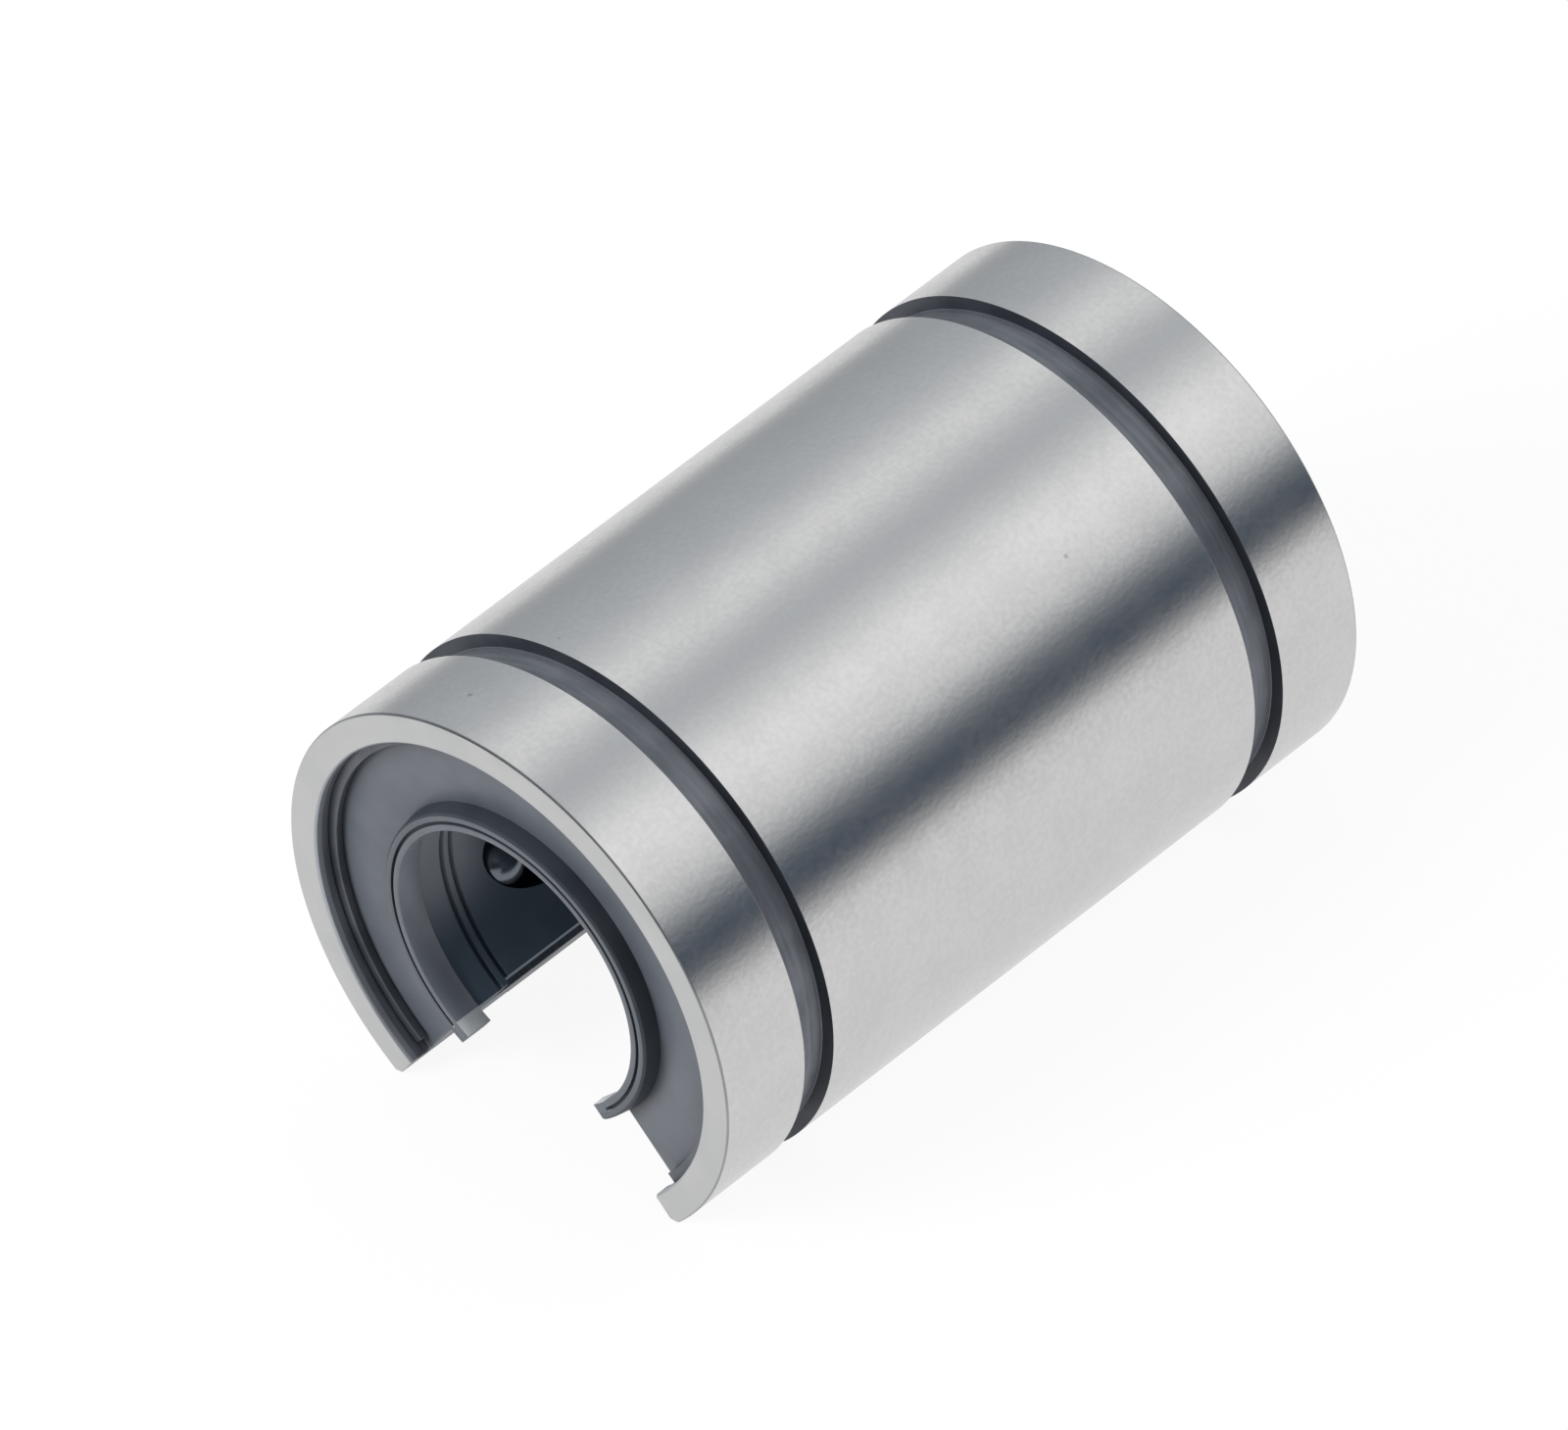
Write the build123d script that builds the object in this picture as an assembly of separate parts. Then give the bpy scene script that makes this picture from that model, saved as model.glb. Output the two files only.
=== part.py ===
from build123d import *
import math
import os

# Open linear ball bearing for a round shaft that is carried on a rail.
# Millimetres. The origin is on the shaft's centre line, at mid-length.
# +X runs along the shaft from the front end to the rear end, +Z points up, and the
# opening faces down, so the bearing stands on the outer edges of its two legs.
# Angles are counted around the shaft from straight down, positive towards +Y.
# Depths are counted along the shaft from the nearer end face.

# Shaft and balls. The balls return further out than they carry the load.
shaft_diameter = 10.0
ball_diameter = 1.984
return_rise = 0.856
balls_in_turn = 2
side_track_angle = 68.0
top_track_angle = 180.0

# Outer sleeve, whose wall is counted outwards from the reliefs for the returning balls
sleeve_wall = 1.6
sleeve_length = 29.0
opening_angle = 80.0
ring_groove_span = 22.0
ring_groove_width = 1.3
ring_groove_depth = 0.5
sleeve_edge_chamfer = 0.06
end_bore_wall = 1.115
end_bore_depth = 1.4
end_bore_chamfer = 0.08
leg_edge_chamfer = 0.25

# Retaining rings, one in a groove behind each end face
retaining_ring_depth = 0.6
retaining_ring_thickness = 0.3
retaining_ring_reach = 0.35
retaining_ring_bite = 0.25
retaining_ring_end_gap = 0.4

# End seals, each a plate with a grooved collar round the shaft
seal_thickness = 0.48
collar_height = 0.61
collar_overhang = 0.6
collar_taper = 0.1
lip_width = 0.22
lip_length = 0.45
lip_flare = 0.15
collar_groove_width = 0.12
collar_groove_depth = 0.14
collar_rim_width = 0.26

# Ball retainer
channel_end_wall = 2.0
end_ring_length = 1.5
end_ring_offset = 0.2
bore_grooves_from_end = (0.95, 1.35)
bore_groove_width = 0.2
bore_groove_depth = 0.25

# Clearances
lip_clearance = 0.04
retainer_shaft_clearance = 0.3
raceway_clearance = 0.005
return_clearance = 0.06
channel_clearance = 0.058
turn_ball_gap = 0.017
relief_side_clearance = 0.2
retainer_clearance = 0.089
rib_clearance = 0.1
seal_clearance = 0.03
ring_clearance = 0.02
retainer_end_play = 0.05

# Each ball circuit: the angle of its loaded track, and the way its return track
# lies from there, +1 towards larger angles and -1 towards smaller ones.
circuits = {"left": (side_track_angle, 1), "right": (-side_track_angle, -1),
            "top": (top_track_angle, -1)}

# Each end of the bearing, with the side of the origin that it lies on.
ends = {"front": -1, "rear": 1}

# Radii that follow from the sizes above
shaft_radius = shaft_diameter / 2
ball_radius = ball_diameter / 2
loaded_radius = shaft_radius + ball_radius
return_radius = loaded_radius + return_rise
track_spacing = math.sqrt(return_radius ** 2 - loaded_radius ** 2)
turn_radius = track_spacing / 2
channel_radius = ball_radius + channel_clearance
raceway_radius = loaded_radius + ball_radius + raceway_clearance
relief_radius = return_radius + ball_radius + return_clearance
sleeve_radius = relief_radius + sleeve_wall
end_bore_radius = sleeve_radius - end_bore_wall
retainer_bore_radius = shaft_radius + retainer_shaft_clearance
retainer_radius = raceway_radius - retainer_clearance

# Places along the shaft, counted from the origin
half_length = sleeve_length / 2
retainer_end = half_length - end_bore_depth - retainer_end_play
end_ring_start = retainer_end - end_ring_length

# Spacing of the balls along a circuit, and the straight stretch that this leaves
ball_pitch = track_spacing * math.asin((ball_diameter + turn_ball_gap) / track_spacing)
turn_length = math.pi * turn_radius
straight_room = 2 * (retainer_end - channel_end_wall - channel_radius - turn_radius)
balls_in_half_circuit = math.floor((straight_room + turn_length) / ball_pitch)
balls_in_straight = balls_in_half_circuit - balls_in_turn
straight_length = balls_in_half_circuit * ball_pitch - turn_length

# Angles from a loaded track to the start of its relief, to its return track and to
# the end of its relief
relief_start = math.degrees(math.acos(loaded_radius / (raceway_radius - ball_radius)))
return_angle = math.degrees(math.atan2(track_spacing, loaded_radius))
relief_end = return_angle + math.degrees(
    math.asin((ball_radius + relief_side_clearance) / return_radius))
rib_start = relief_start + math.degrees(rib_clearance / raceway_radius)


def turned(points, sweep=360):
    """Solid turned about the shaft's centre line from (x, radius) points."""
    outline = Plane.XZ * make_face(Polyline(*points, close=True))
    return revolve(outline, Axis.X, sweep)


def box_outline(x_from, x_to, inner_radius, outer_radius):
    """The (x, radius) points of a rectangle."""
    return [(x_from, inner_radius), (x_to, inner_radius),
            (x_to, outer_radius), (x_from, outer_radius)]


def sector(circuit, outline, first, last):
    """Part of a turned ring, between two angles from a circuit's loaded track."""
    angle, way = circuits[circuit]
    start = min(angle + way * first, angle + way * last)
    return Rot(X=start - 180) * turned(outline, last - first)


def opening(setback, half_width):
    """Wedge that cuts the opening, with its faces set back into the legs."""
    half_angle = math.radians(opening_angle / 2)
    top = setback / math.sin(half_angle)
    side = 2 * sleeve_radius * math.sin(half_angle)
    foot = top - 2 * sleeve_radius * math.cos(half_angle)
    outline = Plane.YZ * make_face(Polyline((0, top), (side, foot), (-side, foot), close=True))
    return extrude(outline, half_width, both=True)


def leg_chamfer(side):
    """Prism that breaks the long outer edge of one leg."""
    half_angle = math.radians(opening_angle / 2)
    outward = Vector(side * math.sin(half_angle), -math.cos(half_angle))
    around = Vector(side * math.cos(half_angle), math.sin(half_angle))
    corner = outward * sleeve_radius
    points = [corner - outward * leg_edge_chamfer, corner + around * leg_edge_chamfer,
              corner + (outward - around) * leg_edge_chamfer]
    outline = Plane.YZ * make_face(Polyline(*[(p.X, p.Y) for p in points], close=True))
    return extrude(outline, sleeve_length, both=True)


def make_outer_sleeve():
    """Ground steel sleeve with ring grooves, raceways, reliefs and end bores."""
    groove_floor = sleeve_radius - ring_groove_depth
    groove_outer = ring_groove_span / 2
    groove_inner = groove_outer - ring_groove_width
    seat_front = half_length - retaining_ring_depth + ring_clearance
    seat_back = seat_front - retaining_ring_thickness - 2 * ring_clearance
    seat_radius = end_bore_radius + retaining_ring_bite + ring_clearance
    shoulder = half_length - end_bore_depth
    rear_half = [
        (groove_inner, sleeve_radius), (groove_inner, groove_floor),
        (groove_outer, groove_floor), (groove_outer, sleeve_radius),
        (half_length - sleeve_edge_chamfer, sleeve_radius),
        (half_length, sleeve_radius - sleeve_edge_chamfer),
        (half_length, end_bore_radius + end_bore_chamfer),
        (half_length - end_bore_chamfer, end_bore_radius),
        (seat_front, end_bore_radius), (seat_front, seat_radius),
        (seat_back, seat_radius), (seat_back, end_bore_radius),
        (shoulder, end_bore_radius), (shoulder, raceway_radius)]
    front_half = [(-x, radius) for x, radius in reversed(rear_half)]
    sleeve = turned(rear_half + front_half)
    relief = box_outline(-half_length, half_length, loaded_radius, relief_radius)
    for circuit in circuits:
        sleeve -= sector(circuit, relief, relief_start, relief_end)
    sleeve -= opening(0, sleeve_length)
    for side in (-1, 1):
        sleeve -= leg_chamfer(side)
    return sleeve


def make_retaining_ring(side):
    """Open spring ring that holds the seal in its end bore."""
    front = half_length - retaining_ring_depth
    outline = box_outline(
        side * front, side * (front - retaining_ring_thickness),
        end_bore_radius - retaining_ring_reach, end_bore_radius + retaining_ring_bite)
    return turned(outline) - opening(retaining_ring_end_gap, sleeve_length)


def make_end_seal(side):
    """Seal plate with a raised collar, whose ends stand past the plate's."""
    back = half_length - end_bore_depth
    front = back + seal_thickness
    top = front + collar_height
    lip_radius = shaft_radius + lip_clearance
    groove_inner = lip_radius + lip_width
    groove_outer = groove_inner + collar_groove_width
    collar_radius = groove_outer + collar_rim_width
    collar_base = collar_radius + collar_taper
    plate = box_outline(side * back, side * front, collar_base, end_bore_radius - seal_clearance)
    collar = [
        (back, collar_base), (front, collar_base), (top, collar_radius), (top, lip_radius),
        (top - lip_length, lip_radius), (back, lip_radius + lip_flare)]
    groove = box_outline(side * (top - collar_groove_depth), side * top, groove_inner, groove_outer)
    cut_plate = turned(plate) - opening(0, sleeve_length)
    cut_collar = (turned([(side * x, radius) for x, radius in collar])
                  - opening(-collar_overhang, sleeve_length))
    cut_groove = turned(groove) - opening(0, sleeve_length)
    return cut_plate + cut_collar - cut_groove


def circuit_plane(circuit):
    """Plane of a circuit's ball centres, on its loaded track at mid-length."""
    angle = math.radians(circuits[circuit][0])
    outward = Vector(0, math.sin(angle), -math.cos(angle))
    return Plane(origin=outward * loaded_radius, x_dir=(1, 0, 0), z_dir=outward)


def return_offset(circuit):
    """Where the return track lies in its circuit's plane, from the loaded track."""
    return -circuits[circuit][1] * track_spacing


def make_channel(circuit):
    """Round-bottomed track for one circuit, open towards the sleeve."""
    offset = return_offset(circuit)
    section = Plane.YZ * make_face(
        Polyline((channel_radius, 0), (channel_radius, sleeve_radius),
                 (-channel_radius, sleeve_radius), (-channel_radius, 0))
        + ThreePointArc((-channel_radius, 0), (0, -channel_radius), (channel_radius, 0)))
    straight = extrude(section, straight_length / 2, both=True)
    pieces = [straight, Pos(Y=offset) * straight]
    for side in ends.values():
        turn_axis = Axis((side * straight_length / 2, offset / 2, 0), (0, 0, side * offset))
        pieces.append(revolve(Pos(X=side * straight_length / 2) * section, turn_axis, 180))
    return [circuit_plane(circuit) * piece for piece in pieces]


def make_ball_retainer():
    """Moulded retainer with three ball channels and ribs that key it in the sleeve."""
    groove_radius = retainer_bore_radius + bore_groove_depth
    rear_half = [(retainer_end, retainer_radius), (retainer_end, retainer_bore_radius)]
    for from_end in bore_grooves_from_end:
        groove_end = retainer_end - from_end
        groove_start = groove_end - bore_groove_width
        rear_half += [(groove_end, retainer_bore_radius), (groove_end, groove_radius),
                      (groove_start, groove_radius), (groove_start, retainer_bore_radius)]
    front_half = [(-x, radius) for x, radius in reversed(rear_half)]
    retainer = turned(rear_half + front_half)
    rib = box_outline(-retainer_end, retainer_end, loaded_radius, relief_radius - rib_clearance)
    for circuit in circuits:
        retainer += sector(circuit, rib, rib_start, return_angle)
    for circuit in circuits:
        for piece in make_channel(circuit):
            retainer -= piece
    retainer -= opening(0, sleeve_length)
    retainer -= opening(end_ring_offset, end_ring_start)
    return retainer


def place_balls(circuit, places):
    """Balls at (along, across) places in a circuit's plane."""
    plane = circuit_plane(circuit)
    return [plane * Pos(along, across, 0) * Sphere(ball_radius) for along, across in places]


def row_places(across):
    """Places of a straight row of balls, from the front end to the rear end."""
    middle = (balls_in_straight - 1) / 2
    return [((count - middle) * ball_pitch, across) for count in range(balls_in_straight)]


def turn_places(circuit, side):
    """Places of the balls that go round the turn at one end of a circuit."""
    middle = (balls_in_turn - 1) / 2
    offset = return_offset(circuit)
    angles = [(count - middle) * ball_pitch / turn_radius for count in range(balls_in_turn)]
    return [(side * (straight_length / 2 + turn_radius * math.cos(angle)),
             offset / 2 + turn_radius * math.sin(angle)) for angle in angles]


def make_circuit_balls(circuit):
    """Named balls of one circuit: loaded ones singly, the others as groups."""
    nodes = {}
    for count, ball in enumerate(place_balls(circuit, row_places(0)), start=1):
        nodes[f"{circuit}_loaded_ball_{count}"] = ball
    returning = place_balls(circuit, row_places(return_offset(circuit)))
    nodes[f"{circuit}_return_balls"] = Compound(children=returning)
    for end, side in ends.items():
        turning = place_balls(circuit, turn_places(circuit, side))
        nodes[f"{circuit}_{end}_turn_balls"] = Compound(children=turning)
    return nodes


def make_bearing():
    """Every piece of the bearing, by name."""
    nodes = {"outer_sleeve": make_outer_sleeve(), "ball_retainer": make_ball_retainer()}
    for end, side in ends.items():
        nodes[f"{end}_end_seal"] = make_end_seal(side)
        nodes[f"{end}_retaining_ring"] = make_retaining_ring(side)
    for circuit in circuits:
        nodes.update(make_circuit_balls(circuit))
    return nodes


os.makedirs("parts", exist_ok=True)
for name, shape in make_bearing().items():
    export_step(shape, f"parts/{name}.step")
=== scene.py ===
"""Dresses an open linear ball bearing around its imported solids, in a plain pale studio.

Places are in metres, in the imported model's own frame: the shaft runs along X, +Z points up, the
front end is at -X and the opening faces down. Angles are counted round the shaft from straight
down, positive towards +Y. Sizes in the classes are in millimetres, but the studio's in metres.
"""

import logging
import math
from dataclasses import dataclass
from enum import Enum
from typing import ClassVar, Iterable, Mapping, Sequence

import bmesh
import bpy
from mathutils import Matrix, Vector


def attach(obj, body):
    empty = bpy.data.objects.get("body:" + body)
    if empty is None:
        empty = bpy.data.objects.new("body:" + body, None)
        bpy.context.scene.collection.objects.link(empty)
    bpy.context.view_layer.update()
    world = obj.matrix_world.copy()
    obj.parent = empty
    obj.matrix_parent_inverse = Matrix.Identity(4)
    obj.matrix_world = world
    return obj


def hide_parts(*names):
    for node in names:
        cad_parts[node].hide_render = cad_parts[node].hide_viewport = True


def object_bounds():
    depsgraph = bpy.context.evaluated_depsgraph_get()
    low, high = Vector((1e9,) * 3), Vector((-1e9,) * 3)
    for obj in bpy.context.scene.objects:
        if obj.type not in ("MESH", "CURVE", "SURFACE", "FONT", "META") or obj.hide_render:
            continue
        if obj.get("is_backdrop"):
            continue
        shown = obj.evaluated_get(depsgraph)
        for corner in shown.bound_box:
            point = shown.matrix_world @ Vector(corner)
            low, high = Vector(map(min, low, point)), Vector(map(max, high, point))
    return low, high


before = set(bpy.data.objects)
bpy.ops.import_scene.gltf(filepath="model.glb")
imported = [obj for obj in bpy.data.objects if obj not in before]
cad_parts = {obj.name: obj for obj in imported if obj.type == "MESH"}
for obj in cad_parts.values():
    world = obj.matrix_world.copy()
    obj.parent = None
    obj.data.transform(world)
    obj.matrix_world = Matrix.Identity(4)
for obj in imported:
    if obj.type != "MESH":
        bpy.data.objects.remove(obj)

MM = 0.001
NEAR = 0.01  # places this close, in millimetres, count as one
MOSTLY = 0.5  # a face looks one way where that part of its normal is over this
LEG_ANGLE = 40.0
ARC_RADIUS = 9.5
EVEN_SHADING = 80
FLOOR_GAP = 0.02
ENDS = {"front": -1, "rear": 1}
CIRCUITS = ("left", "right", "top")
LOG = logging.getLogger("bearing")

Colour = tuple[float, float, float]
Outline = Sequence[tuple[float, float]]
Socket = bpy.types.NodeSocket


class Slot(Enum):
    """The names of the record's material slots."""

    GROUND_STEEL = "ground_steel"
    RUBBER = "seal_rubber"
    SPRING = "spring_steel"


class SleeveZone(Enum):
    """The finishes on the outer sleeve, by their place in its material list."""

    GROUND = 0
    FACED = 1
    TURNED = 2
    SCALED = 3
    EDGE = 4
    MOUTH = 5


class SealZone(Enum):
    """The finishes on an end seal, by their place in its material list."""

    FACE = 0
    SHADED_COLLAR_SIDE = 1
    LIT_CUT_END = 2
    LIT_LIP = 3
    RIM = 4


class Graph:
    """A material's node tree, with short calls for the nodes used here."""

    def __init__(self, name: str) -> None:
        """Starts a material with one Principled shader.

        Args:
            name: the material's name.
        """
        self.material = bpy.data.materials.new(name)
        self.material.use_nodes = True
        self.tree = self.material.node_tree
        self.shader = self.tree.nodes["Principled BSDF"]

    def set(self, socket: str, value: object) -> None:
        """Gives a socket of the shader a value or a link."""
        self.feed(self.shader.inputs[socket], value)

    def feed(self, socket: Socket, value: object) -> None:
        """Gives any socket a value or a link.

        Args:
            socket: the socket.
            value: the value or link, with a colour as red, green and blue.
        """
        if isinstance(value, Socket):
            self.tree.links.new(value, socket)
        elif socket.type == "RGBA":
            socket.default_value = (*value, 1.0)
        else:
            socket.default_value = value

    def add(self, kind: str, output: int | str = 0, settings: Mapping[str, object] | None = None,
            **inputs: object) -> Socket:
        """Adds a node.

        Args:
            kind: the node's type name.
            output: the number or name of the output to give back.
            settings: the node's own properties.
            inputs: values or links for its inputs, each under the input's name with _ for a
                space, or under its number after a _.

        Returns:
            The chosen output socket.
        """
        node = self.tree.nodes.new(kind)
        for key, value in (settings or {}).items():
            setattr(node, key, value)
        for key, value in inputs.items():
            number = key[1:]
            socket = int(number) if number.isdigit() else key.replace("_", " ")
            self.feed(node.inputs[socket], value)
        return node.outputs[output]

    def surface(self, shader: Socket) -> None:
        """Makes a shader the material's surface."""
        self.feed(self.tree.nodes["Material Output"].inputs["Surface"], shader)

    def glow(self, colour: object, strength: object) -> None:
        """Makes the material's surface give off light."""
        self.surface(self.add("ShaderNodeEmission", Color=colour, Strength=strength))

    def bump(self, height: object, distance: float) -> None:
        """Raises the surface by a height, at a distance in metres."""
        self.set("Normal", self.add("ShaderNodeBump", Height=height, Distance=distance))

    def math(self, operation: str, *values: object) -> Socket:
        """Adds a Math node on the given values or links."""
        inputs = {f"_{place}": value for place, value in enumerate(values)}
        return self.add("ShaderNodeMath", settings={"operation": operation}, **inputs)

    def share(self, first: object, part: float, second: object) -> Socket:
        """Adds up part of one value and the rest of another."""
        return self.math("MULTIPLY_ADD", first, part, self.math("MULTIPLY", second, 1 - part))

    def between(self, value: object, low: float, high: float) -> Socket:
        """Runs a value smoothly from 0 at low to 1 at high."""
        return self.add("ShaderNodeMapRange", settings={"interpolation_type": "SMOOTHSTEP"},
                        Value=value, From_Min=low, From_Max=high)

    def blend(self, factor: object, first: object, second: object) -> Socket:
        """Mixes two colours by a factor."""
        return self.add("ShaderNodeMix", output=2, settings={"data_type": "RGBA"},
                        _0=factor, _6=first, _7=second)

    def noise(self, vector: object, scale: float, detail: float = 3.0) -> Socket:
        """Adds a Noise texture and gives back its value."""
        return self.add("ShaderNodeTexNoise", Vector=vector, Scale=scale, Detail=detail)

    def place(self) -> Socket:
        """The place on the piece, in millimetres."""
        point = self.add("ShaderNodeTexCoord", output="Object")
        return self.add("ShaderNodeVectorMath", settings={"operation": "SCALE"},
                        _0=point, Scale=1 / MM)

    def axes(self) -> list[Socket]:
        """The place's X, Y and Z, in millimetres."""
        return list(self.add("ShaderNodeSeparateXYZ", _0=self.place()).node.outputs)

    def around(self, along: float, turned: float) -> Socket:
        """The place unrolled round the shaft, stretched along it and round it.

        Args:
            along: the stretch along the shaft.
            turned: the stretch round the shaft, of the arc at the sleeve's outside.

        Returns:
            A vector socket of (along, round, radius).
        """
        x, y, z = self.axes()
        radius = self.math("SQRT", self.math("ADD", self.math("MULTIPLY", y, y),
                                             self.math("MULTIPLY", z, z)))
        arc = self.math("MULTIPLY", self.math("ARCTAN2", y, z), ARC_RADIUS * turned)
        return self.add("ShaderNodeCombineXYZ", X=self.math("MULTIPLY", x, along),
                        Y=arc, Z=radius)


@dataclass(frozen=True)
class Specks:
    """A few small dark specks, one in each of some cells of the surface.

    Attributes:
        share: the share of the cells that hold one.
        cells_per_mm: how fine the cells are.
        core: how far from its middle a speck is full, in cells.
        reach: how far from its middle it ends, in cells.
        strength: how much of the colour under it is covered.
        colour: its colour.
    """

    share: float
    cells_per_mm: float = 0.55
    core: float = 0.02
    reach: float = 0.07
    strength: float = 0.4
    colour: Colour = (0.09, 0.08, 0.07)

    def lay(self, graph: Graph, under: Socket) -> Socket:
        """Lays the specks over a colour.

        Args:
            graph: the material's graph.
            under: the colour under them.

        Returns:
            The colour with its specks.
        """
        cells = graph.add("ShaderNodeTexVoronoi", Vector=graph.place(),
                          Scale=self.cells_per_mm).node
        draw = graph.add("ShaderNodeSeparateColor", Color=cells.outputs["Color"])
        chosen = graph.math("GREATER_THAN", draw, 1 - self.share)
        fade = graph.between(cells.outputs["Distance"], self.core, self.reach)
        spot = graph.math("MULTIPLY", graph.math("SUBTRACT", 1.0, fade), chosen)
        return graph.blend(graph.math("MULTIPLY", spot, self.strength), under, self.colour)


@dataclass(frozen=True)
class Scuffs:
    """Pale scuffs over a dark colour, longer round the shaft than along it.

    Attributes:
        strength: how much of the colour under them is covered.
        per_mm: how fine they are along the shaft.
        turned: how fine they are round it.
        start: the noise level at which they start.
        full: the noise level at which they are full.
        colour: their colour.
    """

    strength: float
    per_mm: float = 3.0
    turned: float = 1.2
    start: float = 0.56
    full: float = 0.7
    colour: Colour = (0.2, 0.21, 0.23)

    def lay(self, graph: Graph, under: Socket) -> Socket:
        """Lays the scuffs over a colour.

        Args:
            graph: the material's graph.
            under: the colour under them.

        Returns:
            The colour with its scuffs.
        """
        spread = graph.noise(graph.around(self.per_mm, self.turned), 1.0, 4.0)
        amount = graph.math("MULTIPLY", graph.between(spread, self.start, self.full),
                            self.strength)
        return graph.blend(amount, under, self.colour)


@dataclass(frozen=True)
class Steel:
    """Bearing steel with tool marks that run round the shaft.

    Attributes:
        name: the material's name.
        colour: the colour of its bright places.
        dark: the colour of its dull places.
        metallic: how metallic it is.
        roughness: how rough it is.
        marks_per_mm: how fine its tool marks are along the shaft.
        mark_depth: how deep they are, in metres.
        wear: the specks and scuffs on it.
        grazing: how bright it is seen edge on, of 1.
        mottle: how deep its grain is, of the marks' depth, and 0 for none.
        mark_share: the marks' share in the colour. The clouds have the rest.
        marks_turned: how fine the marks are round the shaft.
        clouds_per_mm: how fine the clouds in the colour are.
        cloud_share: what is left of the clouds' share where there is grain.
        grains_per_mm: how fine the grain is.
        dull: the noise level at which the dull colour is full.
        bright: the noise level at which the bright colour is full.
        polish: how much smoother the bright places are.
    """

    name: str
    colour: Colour
    dark: Colour
    metallic: float
    roughness: float
    marks_per_mm: float
    mark_depth: float
    wear: tuple[Specks | Scuffs, ...] = ()
    grazing: float = 1.0
    mottle: float = 0.0
    mark_share: float = 0.5
    marks_turned: float = 0.35
    clouds_per_mm: float = 0.55
    cloud_share: float = 0.4
    grains_per_mm: float = 5.0
    dull: float = 0.36
    bright: float = 0.64
    polish: float = 0.04

    def material(self) -> bpy.types.Material:
        """Makes the steel's material.

        Returns:
            The material.
        """
        graph = Graph(self.name)
        height = marks = graph.noise(graph.around(self.marks_per_mm, self.marks_turned), 1.0)
        cloud = graph.noise(graph.place(), self.clouds_per_mm)
        if self.mottle:
            grain = graph.noise(graph.place(), self.grains_per_mm)
            cloud = graph.share(cloud, self.cloud_share, grain)
            height = graph.math("MULTIPLY_ADD", grain, self.mottle, marks)
        tone = graph.between(graph.share(marks, self.mark_share, cloud), self.dull, self.bright)
        colour = graph.blend(tone, self.dark, self.colour)
        for layer in self.wear:
            colour = layer.lay(graph, colour)
        graph.set("Base Color", colour)
        graph.set("Metallic", self.metallic)
        graph.set("Specular Tint", (self.grazing,) * 3)
        graph.set("Roughness", graph.math("MULTIPLY_ADD", tone, -self.polish,
                                          self.roughness + self.polish / 2))
        graph.bump(height, self.mark_depth)
        return graph.material


@dataclass(frozen=True)
class Moulding:
    """Moulded resin or rubber with a fine grain and soft blotches.

    Attributes:
        name: the material's name.
        colour: the colour of its pale places.
        dark: the colour of its dark places.
        roughness: how rough it is.
        grains_per_mm: how fine its grain is.
        grain_depth: how deep the grain is, in metres.
        specular: its specular level.
        blotches_per_mm: how fine the blotches are.
        dull: the noise level at which the dark colour is full.
        bright: the noise level at which the pale colour is full.
        unevenness: how far the roughness varies with the grain.
    """

    name: str
    colour: Colour
    dark: Colour
    roughness: float
    grains_per_mm: float
    grain_depth: float
    specular: float = 0.5
    blotches_per_mm: float = 0.6
    dull: float = 0.35
    bright: float = 0.65
    unevenness: float = 0.16

    def material(self) -> bpy.types.Material:
        """Makes the moulding's material.

        Returns:
            The material.
        """
        graph = Graph(self.name)
        grain = graph.noise(graph.place(), self.grains_per_mm)
        graph.set("Base Color", self.paint(graph))
        graph.set("Roughness", graph.math("MULTIPLY_ADD", grain, self.unevenness,
                                          self.roughness - self.unevenness / 2))
        graph.set("Specular IOR Level", self.specular)
        graph.bump(grain, self.grain_depth)
        return graph.material

    def paint(self, graph: Graph) -> Socket:
        """The colour, with its blotches."""
        blotches = graph.noise(graph.place(), self.blotches_per_mm, 2.0)
        return graph.blend(graph.between(blotches, self.dull, self.bright),
                           self.dark, self.colour)


@dataclass(frozen=True)
class PaintedLightMoulding(Moulding):
    """A moulding with painted light: its two ends are paler than its middle, but not near the
    opening.

    Attributes:
        painted_light_colour: the colour of the ends.
        end_starts: how far from mid-length the painted light starts.
        end_full: how far from there it is full.
        painted_light_from_height: the height over the shaft's centre line at which it starts.
        painted_light_full_height: the height at which it is full.
    """

    painted_light_colour: Colour = (0.1, 0.11, 0.13)
    end_starts: float = 9.6
    end_full: float = 11.4
    painted_light_from_height: float = -2.6
    painted_light_full_height: float = 0.0

    def paint(self, graph: Graph) -> Socket:
        """Paints the blotches, and the painted light on the ends.

        Args:
            graph: the material's graph.

        Returns:
            The colour.
        """
        body = super().paint(graph)
        x, _, z = graph.axes()
        # Painted light: the ends are made paler above the opening, for the light that falls there.
        ends = graph.between(graph.math("ABSOLUTE", x), self.end_starts, self.end_full)
        painted_top_light = graph.between(z, self.painted_light_from_height, self.painted_light_full_height)
        return graph.blend(graph.math("MULTIPLY", ends, painted_top_light), body, self.painted_light_colour)


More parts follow.
